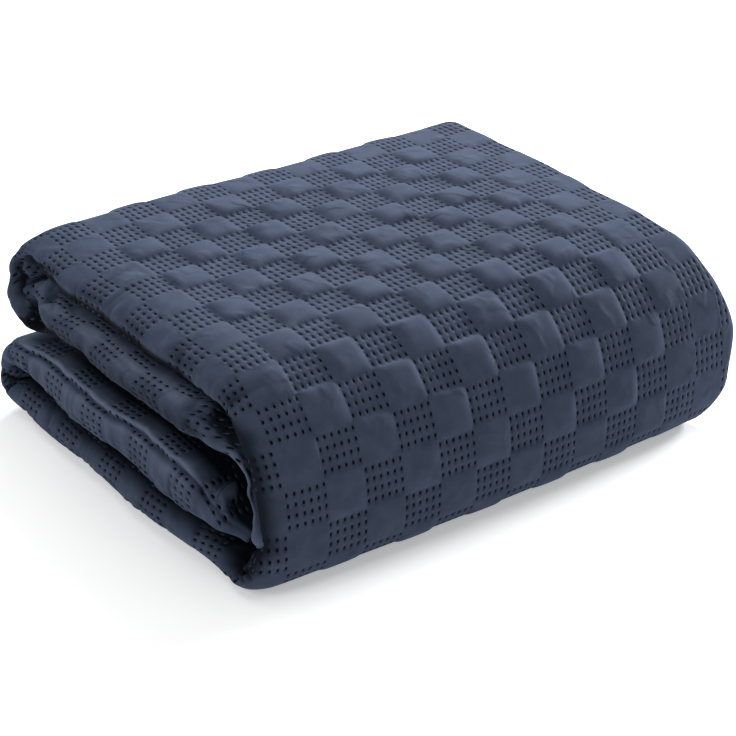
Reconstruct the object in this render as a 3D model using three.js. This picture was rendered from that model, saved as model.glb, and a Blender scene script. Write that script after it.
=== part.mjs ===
import * as THREE from "three";

// A quilted bedspread folded into a bundle, in millimetres. It rests on z = 0 and +Z is up.
// The big bend runs along X on the -Y side; two stacked round folds are on the +Y side.
// The origin is at the middle of the bundle's underside.

// Main sizes
const CELL = 35;
const QUILT = 8;
const LAYER_PITCH = 9.4;
const TOP = 171;

// Quilting: u and v count squares along X and along the outer face, from these offsets
const U_OFFSET = 5;
const V_OFFSET = -1.125;
const PLAIN_RISE = 1.8;
const DOTTED_DROP = 1.2;
const SEAM = 0.14;
const MIDDLE = 0.5;
const FULL_SQUARES = 11;

// A lap is four layers: the outer layer turns round the nose, the two ends are folded back inside
const HALF_QUILT = QUILT / 2;
const LEVELS = { first: 1.5 * LAYER_PITCH, second: 0.5 * LAYER_PITCH };
const OUTER = LEVELS.first + HALF_QUILT;
const INNER = LEVELS.first - HALF_QUILT;
const FAR_BEND = LAYER_PITCH / 2 + HALF_QUILT;
const HEM_SETBACK = 12;
const INNER_LINES = [-120, 10, 130];
const FAR_STAGGER = 5;

// Heights of the middle of each lap
const LOWER_LAP = OUTER;
const LAP_RISE = 39.5;
const INNER_LOW_LAP = LOWER_LAP + LAP_RISE;
const UPPER_LAP = TOP - OUTER;
const INNER_HIGH_LAP = UPPER_LAP - LAP_RISE;
const ROUND = LAP_RISE / 2;
const FOOT_PRESS = 0.48;
const FOOT = OUTER * FOOT_PRESS;
const HIGH_FOLD = 169;
const LOW_FOLD = 171.2;

// The bundle's run in the YZ plane, a row for each lap end or fold. Heading is in degrees from +Y to +Z.
// Press thins the four layers. Nose and far are the lap's ends along X.
// RoundOut and roundIn are the nose's lengths on the outer and the inner face, lip its offset.
// Steps is the number of plain sections up to the next row; lines is that of quilted sections in a square.
const COLUMNS = [
  "y", "z", "heading", "press", "nose", "far", "roundOut", "roundIn", "lip", "steps", "lines",
];
const RUN_TABLE = [
  [-168, 66, 95, 0.34, -236, 240, 16, 16, 0, 3, 0],
  [-158, 97, 55, 0.42, -240, 240, 18, 18, 0, 3, 0],
  [-122, 114, 10, 0.75, -243, 242, 22, 26, 0, 2, 0],
  [-82, INNER_HIGH_LAP, 0, 1, -245, 244, 22, 32, 0, 4, 0],
  [HIGH_FOLD, INNER_HIGH_LAP, 0, 1, -245, 246, 22, 32, 2, 4, 3],
  [HIGH_FOLD + ROUND, INNER_HIGH_LAP + ROUND, 90, 1, -243, 250, 22, 48, 8, 4, 3],
  [HIGH_FOLD, UPPER_LAP, 180, 1, -233, 251, 44, 30, 4, 4, 2],
  [-98, UPPER_LAP, 182, 1, -229, 238, 50, 18, 0, 3, 2],
  [-160, 136, 217.9, 0.76, -222, 238, 38, 18, 2, 3, 2],
  [-192, 87, 254.2, 0.64, -221, 255, 30, 18, 2, 2, 2],
  [-200.8, 40, 270, FOOT_PRESS, -224, 254, 30, 18, 2, 6, 3],
  [-182.5, FOOT, 360, FOOT_PRESS, -235, 243, 28, 20, 2, 2, 0],
  [-100, LOWER_LAP, 360, 1, -248, 250, 28, 22, 0, 4, 0],
  [LOW_FOLD, LOWER_LAP, 360, 1, -253, 254, 28, 22, 2, 4, 3],
  [LOW_FOLD + ROUND, LOWER_LAP + ROUND, 450, 1, -252, 252, 24, 46, 8, 4, 3],
  [LOW_FOLD, INNER_LOW_LAP, 540, 1, -252, 248, 28, 20, 2, 4, 0],
  [-108, INNER_LOW_LAP, 540, 1, -249, 246, 28, 20, 0, 4, 0],
  [-174, 52, 535, 0.34, -242, 240, 18, 16, 0, 0, 0],
];
const RUN = RUN_TABLE.map((row) => Object.fromEntries(row.map((value, i) => [COLUMNS[i], value])));
const HIGH_FOLD_ROW = 6;
const BEND_ROWS = { first: 7, last: 12 };
const ARC_FULLNESS = 1.172;
const FINE_STEPS = 48;
const NOSE_STEPS = 4;
const FAR_STEPS = 4;

// Soft unevenness of the settled cloth
const WAVES = [
  { height: 1.2, perX: 1 / 430, perY: 1 / 520, shift: 0.1 },
  { height: 0.5, perX: 1 / 190, perY: -1 / 260, shift: 0.3 },
];
const BOW = { pull: 8, halfLength: 250, from: -100, span: 105 };
const EDGE_WAVE = { reach: 2.5, perY: 1 / 150, perZ: 1 / 150, start: 120, span: 132 };

const turn = (fraction) => 2 * Math.PI * fraction;
const mix = (a, b, t) => a + (b - a) * t;
const ease = (t) => t * t * (3 - 2 * t);

// One point of the run between two rows: place, heading and the eased columns
function runPoint(row, t) {
  const from = RUN[row];
  const to = RUN[row + 1];
  const reach = ARC_FULLNESS * Math.hypot(to.y - from.y, to.z - from.z);
  const pull = (point, axis) => reach * axis(THREE.MathUtils.degToRad(point.heading));
  const start = (2 * t - 3) * t * t + 1;
  const end = (3 - 2 * t) * t * t;
  const leave = ((t - 2) * t + 1) * t;
  const arrive = (t - 1) * t * t;
  const point = {
    row: row + t,
    y: start * from.y + end * to.y + leave * pull(from, Math.cos) + arrive * pull(to, Math.cos),
    z: start * from.z + end * to.z + leave * pull(from, Math.sin) + arrive * pull(to, Math.sin),
  };
  for (const name of ["press", "nose", "far", "roundOut", "roundIn", "lip"]) {
    point[name] = mix(from[name], to[name], ease(t));
  }
  return point;
}

// The whole run in fine steps, with the outward normal and the length walked on the outer face
function fineRun() {
  const points = [];
  for (let row = 0; row < RUN.length - 1; row += 1) {
    for (let step = 0; step < FINE_STEPS; step += 1) {
      points.push(runPoint(row, step / FINE_STEPS));
    }
  }
  points.push(runPoint(RUN.length - 2, 1));
  let walked = 0;
  points.forEach((point, i) => {
    const before = points[Math.max(i - 1, 0)];
    const after = points[Math.min(i + 1, points.length - 1)];
    const length = Math.hypot(after.y - before.y, after.z - before.z);
    point.normalY = (after.z - before.z) / length;
    point.normalZ = (before.y - after.y) / length;
    point.outerY = point.y + OUTER * point.press * point.normalY;
    point.outerZ = point.z + OUTER * point.press * point.normalZ;
    if (i > 0) {
      walked += Math.hypot(point.outerY - before.outerY, point.outerZ - before.outerZ);
    }
    point.walked = walked;
  });
  return points;
}

const FINE = fineRun();
const FOLD_POINT = FINE[HIGH_FOLD_ROW * FINE_STEPS];
const squareAt = (point) => FOLD_POINT.y / CELL + V_OFFSET + (FOLD_POINT.walked - point.walked) / CELL;

// A station is a section of the run; it is read off the fine steps
function station(index) {
  const low = Math.min(Math.floor(index), FINE.length - 2);
  const t = index - low;
  const section = {};
  for (const name of Object.keys(FINE[low])) {
    section[name] = mix(FINE[low][name], FINE[low + 1][name], t);
  }
  section.index = index;
  section.v = squareAt(section);
  return section;
}

// Fine index at which the outer face reaches a quilting line
function indexOfSquare(v) {
  const high = FINE.findIndex((point) => squareAt(point) <= v);
  const low = high - 1;
  return low + (squareAt(FINE[low]) - v) / (squareAt(FINE[low]) - squareAt(FINE[high]));
}

const isQuilted = (row) => RUN[row]?.lines > 0;

// Fine indices on both sides of each quilting line of a stretch, and midway where it is tightly curved
function quiltedIndices(row) {
  const entry = isQuilted(row - 1) ? 0 : SEAM;
  const exit = isQuilted(row + 1) ? 0 : SEAM;
  const high = squareAt(FINE[row * FINE_STEPS]) - entry;
  const low = squareAt(FINE[(row + 1) * FINE_STEPS]) + exit;
  const offsets = RUN[row].lines > 2 ? [SEAM, -SEAM, -MIDDLE] : [SEAM, -SEAM];
  const indices = [];
  for (let line = Math.ceil(high); line >= Math.floor(low); line -= 1) {
    const places = offsets.map((offset) => line + offset);
    indices.push(...places.filter((v) => v <= high && v > low).map(indexOfSquare));
  }
  return indices;
}

// Plain stations for the faces inside, and stations on the quilting lines for the faces outside
function stations(onLines) {
  const indices = [];
  RUN.slice(0, -1).forEach((fold, row) => {
    const first = row * FINE_STEPS;
    if (onLines && isQuilted(row)) {
      indices.push(...(isQuilted(row - 1) ? [] : [first]), ...quiltedIndices(row));
      return;
    }
    for (let step = 0; step < fold.steps; step += 1) {
      indices.push(first + (step / fold.steps) * FINE_STEPS);
    }
  });
  indices.push(FINE.length - 1);
  return indices.map(station);
}

// Rows of the lap's section, in order round its edge. Each gives x and the offset across the lap.
function sectionRows() {
  const rows = [];
  const outside = (at, raised) => rows.push({ at, raised, onLines: true });
  const inside = (at) => rows.push({ at, raised: false, onLines: false });
  const toFar = (level) => INNER_LINES.forEach((x) => inside(() => [x, level]));
  const toNose = (level) => INNER_LINES.toReversed().forEach((x) => inside(() => [x, level]));
  const quarter = (step) => (Math.PI / 2) * (step / NOSE_STEPS);

  // Outer face of the first layer, from the far end to the nose
  outside((q) => [q.far - FAR_BEND, OUTER], false);
  for (let line = FULL_SQUARES; line > 0; line -= 1) {
    outside(() => [(line + SEAM - U_OFFSET) * CELL, OUTER], true);
    outside(() => [(line - SEAM - U_OFFSET) * CELL, OUTER], true);
  }
  outside(() => [(SEAM - U_OFFSET) * CELL, OUTER], true);

  // The nose
  for (let step = 0; step < NOSE_STEPS; step += 1) {
    const sine = Math.sin(quarter(step));
    const cosine = Math.cos(quarter(step));
    outside((q) => [q.nose + q.roundOut * (1 - sine), q.lip + (OUTER - q.lip) * cosine], false);
  }
  for (let step = 0; step <= NOSE_STEPS; step += 1) {
    const sine = Math.sin(quarter(step));
    const cosine = Math.cos(quarter(step));
    inside((q) => [q.nose + q.roundIn * (1 - cosine), q.lip - (OUTER + q.lip) * sine]);
  }

  // Outer face of the fourth layer, then the far fold up to the third
  toFar(-OUTER);
  const farFold = (level, stagger, lastStep) => {
    for (let step = 0; step <= lastStep; step += 1) {
      const angle = Math.PI * (step / FAR_STEPS - 0.5);
      const out = FAR_BEND * Math.cos(angle);
      inside((q) => [q.far - stagger - FAR_BEND + out, level + FAR_BEND * Math.sin(angle)]);
    }
  };
  farFold(-LAYER_PITCH, FAR_STAGGER, FAR_STEPS);

  // Third layer: its face, its hem and its back
  const hemLayer = (level) => {
    const hem = (q) => q.nose + Math.max(q.roundOut, q.roundIn) + HEM_SETBACK;
    toNose(level + HALF_QUILT);
    inside((q) => [hem(q) + HALF_QUILT, level + HALF_QUILT]);
    inside((q) => [hem(q), level]);
    inside((q) => [hem(q) + HALF_QUILT, level - HALF_QUILT]);
    toFar(level - HALF_QUILT);
  };
  hemLayer(-LEVELS.second);
  inside((q) => [q.far - FAR_STAGGER - FAR_BEND, -LEVELS.second - HALF_QUILT]);

  // Inner face of the fourth layer, inside of the nose, inner face of the first layer
  inside((q) => [q.far - FAR_STAGGER - FAR_BEND, -INNER]);
  toNose(-INNER);
  const innerLip = (q) => (q.lip * INNER) / OUTER;
  for (let step = NOSE_STEPS; step > 0; step -= 1) {
    const sine = Math.sin(quarter(step));
    const cosine = Math.cos(quarter(step));
    const back = (q) => q.nose + QUILT + (q.roundIn - QUILT) * (1 - cosine);
    inside((q) => [back(q), innerLip(q) - (INNER + innerLip(q)) * sine]);
  }
  for (let step = NOSE_STEPS; step >= 0; step -= 1) {
    const sine = Math.sin(quarter(step));
    const cosine = Math.cos(quarter(step));
    const back = (q) => q.nose + QUILT + (q.roundOut - QUILT) * (1 - sine);
    inside((q) => [back(q), innerLip(q) + (INNER - innerLip(q)) * cosine]);
  }
  toFar(INNER);
  inside((q) => [q.far - FAR_BEND, INNER]);

  // Second layer, then its far fold up to the first
  inside((q) => [q.far - FAR_BEND, LEVELS.second + HALF_QUILT]);
  hemLayer(LEVELS.second);
  farFold(LAYER_PITCH, 0, FAR_STEPS - 1);
  return rows;
}

// Plain squares stand up and dotted squares lie low
function pillow(x, section) {
  const u = x / CELL + U_OFFSET;
  const plain = Math.sin(Math.PI * u) * Math.sin(Math.PI * section.v) < 0;
  return plain ? PLAIN_RISE : -DOTTED_DROP;
}

// The settled cloth: waves that grow with height, swaying noses, and a big bend that is fullest midway
function settle([x, y, z], section) {
  const free = ease(Math.min(1, section.row, RUN.length - 1 - section.row));
  let lift = 0;
  for (const wave of WAVES) {
    lift += free * wave.height * Math.sin(turn(x * wave.perX + y * wave.perY + wave.shift));
  }
  const edge = Math.max(0, (-x - EDGE_WAVE.start) / EDGE_WAVE.span) ** 2;
  const sway = EDGE_WAVE.reach * Math.sin(turn(y * EDGE_WAVE.perY + z * EDGE_WAVE.perZ));
  const inBend = section.row > BEND_ROWS.first && section.row < BEND_ROWS.last;
  const side = inBend ? ease(THREE.MathUtils.clamp((BOW.from - y) / BOW.span, 0, 1)) : 0;
  const pull = side * BOW.pull * (x / BOW.halfLength) ** 2;
  return [x + edge * sway, y + pull, Math.max(0, z + (z / TOP) * lift)];
}

function place(row, section) {
  const [x, across] = row.at(section);
  const raise = row.raised && isQuilted(Math.floor(section.row)) ? pillow(x, section) : 0;
  const offset = across * section.press + raise;
  const point = [x, section.y + offset * section.normalY, section.z + offset * section.normalZ];
  return settle(point, section);
}

// The closed skin: rows side by side along the run, and the two hemmed ends
function bedspreadGeometry() {
  const rows = sectionRows();
  const plainStations = stations(false);
  const lineStations = stations(true);
  const positions = [];
  const faces = [];
  for (const row of rows) {
    row.sections = row.onLines ? lineStations : plainStations;
    row.start = positions.length / 3;
    row.sections.forEach((section) => positions.push(...place(row, section)));
  }
  rows.forEach((row, i) => {
    const next = rows[(i + 1) % rows.length];
    let a = 0;
    let b = 0;
    while (a < row.sections.length - 1 || b < next.sections.length - 1) {
      const aheadA = a < row.sections.length - 1 ? row.sections[a + 1].index : Infinity;
      const aheadB = b < next.sections.length - 1 ? next.sections[b + 1].index : Infinity;
      if (aheadA <= aheadB) {
        faces.push(row.start + a, next.start + b, row.start + a + 1);
        a += 1;
      } else {
        faces.push(row.start + a, next.start + b, next.start + b + 1);
        b += 1;
      }
    }
  });
  const cap = (sectionOf, pick, order) => {
    const outline = rows.map((row) => new THREE.Vector2(...row.at(sectionOf(row))));
    for (const face of THREE.ShapeUtils.triangulateShape(outline, [])) {
      faces.push(...order.map((corner) => rows[face[corner]].start + pick(rows[face[corner]])));
    }
  };
  cap((row) => row.sections[0], () => 0, [0, 2, 1]);
  cap((row) => row.sections.at(-1), (row) => row.sections.length - 1, [0, 1, 2]);

  const geometry = new THREE.BufferGeometry();
  geometry.setAttribute("position", new THREE.Float32BufferAttribute(positions, 3));
  geometry.setIndex(faces);
  geometry.computeVertexNormals();
  return geometry;
}

const navyMicrofibre = new THREE.MeshStandardMaterial({ color: 0x3a4258, roughness: 0.6, metalness: 0 });
const bedspread = new THREE.Mesh(bedspreadGeometry(), navyMicrofibre);
bedspread.name = "bedspread";

const folded = new THREE.Group();
folded.name = "folded_bedspread";
folded.add(bedspread);

export default folded;
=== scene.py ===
import math

import bpy
import numpy as np
from mathutils import Matrix, Vector
from mathutils.geometry import tessellate_polygon


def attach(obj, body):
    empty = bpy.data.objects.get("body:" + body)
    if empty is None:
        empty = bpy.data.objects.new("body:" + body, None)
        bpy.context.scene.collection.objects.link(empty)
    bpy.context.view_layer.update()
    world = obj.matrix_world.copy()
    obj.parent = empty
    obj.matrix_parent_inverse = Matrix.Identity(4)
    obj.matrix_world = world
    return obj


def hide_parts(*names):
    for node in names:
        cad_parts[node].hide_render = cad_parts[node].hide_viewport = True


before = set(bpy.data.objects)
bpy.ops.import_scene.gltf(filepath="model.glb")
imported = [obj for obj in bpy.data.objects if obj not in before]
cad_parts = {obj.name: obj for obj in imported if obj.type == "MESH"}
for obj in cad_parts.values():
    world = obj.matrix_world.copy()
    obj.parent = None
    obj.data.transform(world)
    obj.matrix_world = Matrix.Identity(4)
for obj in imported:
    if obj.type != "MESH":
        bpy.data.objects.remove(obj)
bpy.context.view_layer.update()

# A folded quilted bedspread. Lengths of the cloth are in millimetres until the mesh is made.
# The big bend runs along X on the -Y side; two stacked round folds are on the +Y side.
MM = 0.001

# Quilting: u and v count squares along X and along the outer face
CELL = 35.0
U_OFFSET = 5.0
V_OFFSET = -1.125
PUFF_HEIGHT = 4.2
SEAM_LEVEL = -1.6
PUFF_HALF_U = 0.495
PUFF_HALF_V = 0.55
PUFF_POWER = 5.0
PUFF_VARIETY = 0.18
PUFF_LEAN = 0.5
DOT_COLUMNS = 6
DOT_ROWS = 4
DOT_FIRST = 0.045
DOT_PITCH_U = 0.182
DOT_HALF_WIDTH = 1.05
DOT_HALF_LENGTH = 1.85

# A lap is four layers: the outer one turns round the nose, and two hemmed ends lie inside
QUILT = 8.0
LAYER_PITCH = 9.4
HALF_QUILT = QUILT / 2
LEVEL_FIRST = 1.5 * LAYER_PITCH
LEVEL_SECOND = 0.5 * LAYER_PITCH
OUTER = LEVEL_FIRST + HALF_QUILT
INNER = LEVEL_FIRST - HALF_QUILT
FAR_BEND = LAYER_PITCH / 2 + HALF_QUILT
HEM_SETBACK = 60.0
FAR_STAGGER = 5.0
INNER_LINES = (-150.0, -90.0, -30.0, 30.0, 90.0, 150.0)

# Heights of the laps
TOP = 171.0
LAP_RISE = 39.5
LOWER_LAP = OUTER
INNER_LOW_LAP = LOWER_LAP + LAP_RISE
UPPER_LAP = TOP - OUTER
INNER_HIGH_LAP = UPPER_LAP - LAP_RISE
ROUND = LAP_RISE / 2
FOOT_PRESS = 0.48
FOOT = OUTER * FOOT_PRESS
HIGH_FOLD = 169.0
LOW_FOLD = 171.2

# The run of the bundle in the YZ plane, a row for each lap end or fold. Heading is in degrees from +Y to +Z.
# Press thins the four layers. Far is the lap's end along X. Steps counts the inner sections.
RUN_COLUMNS = ("y", "z", "heading", "press", "far", "steps")
RUN_TABLE = (
    (-178, 40, 92, 0.13, 240, 6),
    (-166, 92, 78, 0.17, 240, 7),
    (-128, 115, 5, 0.75, 242, 4),
    (-82, INNER_HIGH_LAP, 0, 1, 244, 9),
    (HIGH_FOLD, INNER_HIGH_LAP, 0, 1, 246, 9),
    (HIGH_FOLD + ROUND, INNER_HIGH_LAP + ROUND, 90, 1, 245, 9),
    (HIGH_FOLD, UPPER_LAP + 1, 180, 1, 249, 9),
    (-98, UPPER_LAP, 182, 1, 238, 8),
    (-160, 136, 217.9, 0.76, 251, 6),
    (-192, 87, 254.2, 0.64, 263, 5),
    (-200.0, 40, 270, FOOT_PRESS, 256, 9),
    (-180.5, FOOT, 360, FOOT_PRESS, 226, 5),
    (-100, LOWER_LAP, 360, 1, 250, 9),
    (LOW_FOLD, LOWER_LAP, 360, 1, 254, 9),
    (LOW_FOLD + ROUND, LOWER_LAP + ROUND, 450, 1, 252, 9),
    (LOW_FOLD, INNER_LOW_LAP, 540, 1, 248, 9),
    (-108, INNER_LOW_LAP, 540, 1, 246, 7),
    (-171, 43, 549, 0.2, 240, 0),
)
LAST_ROW = len(RUN_TABLE) - 1
# The noses at the -X end, by place in the run. Lip is the tip's offset across the lap, and the swells fatten
# the two halves. The powers shape them: 2 is an ellipse, more is boxier and less is more pointed.
NOSE_COLUMNS = (
    "index", "nose", "lip", "round_out", "power_out", "swell_out", "round_in", "power_in", "swell_in",
)
NOSE_TABLE = (
    (0.0, -227, 0, 8, 2.0, 1.4, 8, 2.0, 2.0),
    (0.12, -231, 0, 12, 2.0, 2.4, 12, 1.5, 6.0),
    (0.3, -226, 0, 10, 2.0, 1.2, 10, 2.0, 1.2),
    (0.5, -227, 0, 10, 2.0, 1, 10, 2.0, 1),
    (1.0, -224, 0, 10, 2.0, 1, 10, 2.0, 1),
    (1.4, -226, 0, 12, 2.0, 1, 14, 2.0, 1),
    (2.1, -239, -6, 24, 1.9, 1.0, 30, 2.0, 1.1),
    (3.0, -246, -11, 26, 2.0, 0.95, 36, 2.0, 1.12),
    (3.3, -247, -12, 26, 2.0, 0.64, 36, 2.1, 1.12),
    (3.55, -247, -12, 26, 2.0, 0.55, 36, 2.2, 1.12),
    (3.8, -246, -8, 26, 1.9, 0.95, 38, 2.2, 1.06),
    (4.0, -247, 0, 18, 2.7, 1.42, 36, 2.2, 1),
    (4.5, -247, 0, 20, 2.4, 1.3, 44, 2.0, 1),
    (5.0, -241, 6, 30, 1.9, 1, 48, 2.0, 1),
    (5.5, -234, 6, 46, 1.8, 1, 42, 2.0, 1),
    (6.0, -229, 4, 54, 1.9, 1, 30, 2.0, 1),
    (6.4, -232, 0, 46, 2.0, 1, 22, 2.2, 1),
    (7.0, -229, -2, 50, 2.0, 1, 18, 2.2, 1),
    (8.0, -224, -2, 44, 2.0, 1, 16, 2.0, 1),
    (9.0, -226, -8, 44, 2.0, 1, 14, 2.0, 1),
    (9.9, -226, -8, 44, 2.0, 1, 14, 2.0, 1),
    (10.15, -235, -8, 40, 2.2, 1, 16, 2.4, 1.8),
    (10.8, -239, -8, 34, 2.2, 1, 18, 2.4, 2.0),
    (11.2, -241, 0, 30, 2.0, 1, 20, 2.2, 1.6),
    (12.0, -248, 0, 28, 2.0, 1, 24, 1.8, 1),
    (12.45, -253, 1, 28, 2.0, 1, 24, 1.8, 1),
    (12.72, -250.5, 1, 28, 2.0, 1, 24, 1.8, 1),
    (13.0, -253.5, 2, 28, 2.0, 1, 24, 1.8, 1),
    (13.6, -256.5, 4, 24, 2.0, 1, 36, 2.0, 1),
    (14.3, -249, 8, 24, 2.0, 1, 46, 2.0, 1),
    (14.9, -250, 3, 20, 2.4, 1, 28, 2.0, 1),
    (15.3, -250, -2, 20, 2.6, 1.35, 30, 2.3, 1.06),
    (16.0, -249, -3, 20, 2.6, 1.4, 30, 2.3, 1.06),
    (16.6, -245, -3, 16, 2.2, 1.3, 24, 2.2, 1.06),
    (17.0, -232, 0, 10, 2.0, 1, 12, 2.0, 1),
)
# Columns eased from row to row, the row that squares are counted from, the first and last row of the big
# bend, how full an arc between two rows is, and the fine steps in one
EASED = ("press", "far")
HIGH_FOLD_ROW = 6
BEND_ROWS = (7, 12)
ARC_FULLNESS = 1.172
FINE_STEPS = 96

# Stretches of the run by row: how the mesh lines are spread in a square, and how much of the puff shows
FINE_LINES = (0.0, 0.025, 0.07, 0.14, 0.24, 0.36, 0.5, 0.64, 0.76, 0.86, 0.93, 0.975)
MIDDLE_LINES = (0.0, 0.06, 0.17, 0.33, 0.5, 0.67, 0.83, 0.94)
WIDE_LINES = (0.0, 0.25, 0.5, 0.75)
CROSS_LINES = (0.0, 0.02, 0.06, 0.13, 0.24, 0.4, 0.6, 0.76, 0.87, 0.94, 0.98)
STRETCH_COLUMNS = ("first", "last", "face_lines", "nose_lines", "puff_start", "puff_end")
STRETCHES = (
    (0, 3, WIDE_LINES, FINE_LINES, 0.0, 0.3),
    (3, 4, WIDE_LINES, FINE_LINES, 0.3, 0.6),
    (4, 5, FINE_LINES, FINE_LINES, 0.6, 0.9),
    (5, 5.5, FINE_LINES, FINE_LINES, 0.9, 0.6),
    (5.5, 6, FINE_LINES, FINE_LINES, 0.6, 0.12),
    (6, 6.25, FINE_LINES, FINE_LINES, 0.12, 1.0),
    (6.25, 9.5, FINE_LINES, FINE_LINES, 1.0, 0.9),
    (9.5, 10.5, FINE_LINES, FINE_LINES, 0.9, 0.4),
    (10.5, 11, FINE_LINES, FINE_LINES, 0.4, 0.3),
    (11, 12, MIDDLE_LINES, FINE_LINES, 0.3, 0.0),
    (12, 13, WIDE_LINES, FINE_LINES, 0.0, 0.0),
    (13, 14, FINE_LINES, FINE_LINES, 0.0, 0.9),
    (14, 15, FINE_LINES, FINE_LINES, 0.9, 0.5),
    (15, 16, WIDE_LINES, FINE_LINES, 0.5, 0.5),
    (16, 16.15, WIDE_LINES, FINE_LINES, 0.5, 0.4),
    (16.15, 16.6, MIDDLE_LINES, FINE_LINES, 0.4, 0.1),
    (16.6, 17, WIDE_LINES, FINE_LINES, 0.1, 0.0),
)
# Mesh lines keep off the ends of a stretch by this part of a square
LINE_GAP = 0.01
# How much of the puff shows on the noses and at the far end, where it fades from the square FAR_FLAT on
NOSE_PUFF = 0.22
FAR_PUFF = 0.18
FAR_FLAT = 9.0
# Squares where the even mesh lines of a face start and stop, and the steps from there to its two ends
FACE_FIRST = 11.0
FACE_LAST = 0.1
FAR_APPROACH = 7
NOSE_APPROACH = 14
# Steps round each half of a nose, outside and inside, and round a far fold
NOSE_STEPS = 18
BACK_STEPS = 8
FAR_STEPS = 8

# Plain hems at the two ends of the cloth. One starts at a v; the other is a slanting band that shows its
# sewn edge beside the hanging end, from a place u, v at the nose.
HEM_HIGH = 17.3
HEM_BAND = {
    "u": -1.66, "v": -33.34, "slant": 0.36, "width": 0.34, "u_last": -1.12,
    "rise": 3.0, "edge": 0.05, "stitch": 0.09, "turned": 0.1,
}

# Soft unevenness of the settled cloth. The far waves are heights, and lengths in squares.
WAVES = (
    {"height": 1.2, "per_x": 1 / 430, "per_y": 1 / 520, "shift": 0.1},
    {"height": 0.5, "per_x": 1 / 190, "per_y": -1 / 260, "shift": 0.3},
    {"height": 1.5, "per_x": 1 / 1000, "per_y": 0, "shift": 0},
)
FAR_WAVES = ((1.4, 9.3), (0.7, 3.7), (0.4, 1.3))
FAR_SIDE_SHIFT = 2.1
BOW = {"pull": 8.0, "middle": 30.0, "half_length": 250.0, "start": -100.0, "span": 105.0}
FLAP_WAVE = {"reach": 3.0, "per_z": 1 / 25, "last": 1.5}
DROOP = {"drop": 4.0, "start": 120.0, "span": 110.0, "middle": -140.0, "half_width": 40.0}
EDGE_WAVE = {"reach": 2.5, "per_y": 1 / 150, "per_z": 1 / 150, "start": 120.0, "span": 132.0}

# Pockets in the noses, where the round folds open. Places on a nose are v along the run and the turn
# round it, which is 0 on the outer face, 0.5 at the tip and 1 on the inner face.
# Dark is how dark the painted shade of the cloth is in the deepest place.
POCKET_COLUMNS = ("v", "turned", "depth", "along", "around", "dark")
POCKETS = (
    (7.5, 0.4, 26, 0.7, 0.2, 0.97),
    (6.0, 0.84, 30, 1.5, 0.3, 0.3),
    (-11.45, 0.8, 18, 0.25, 0.2, 0.8),
)
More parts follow.
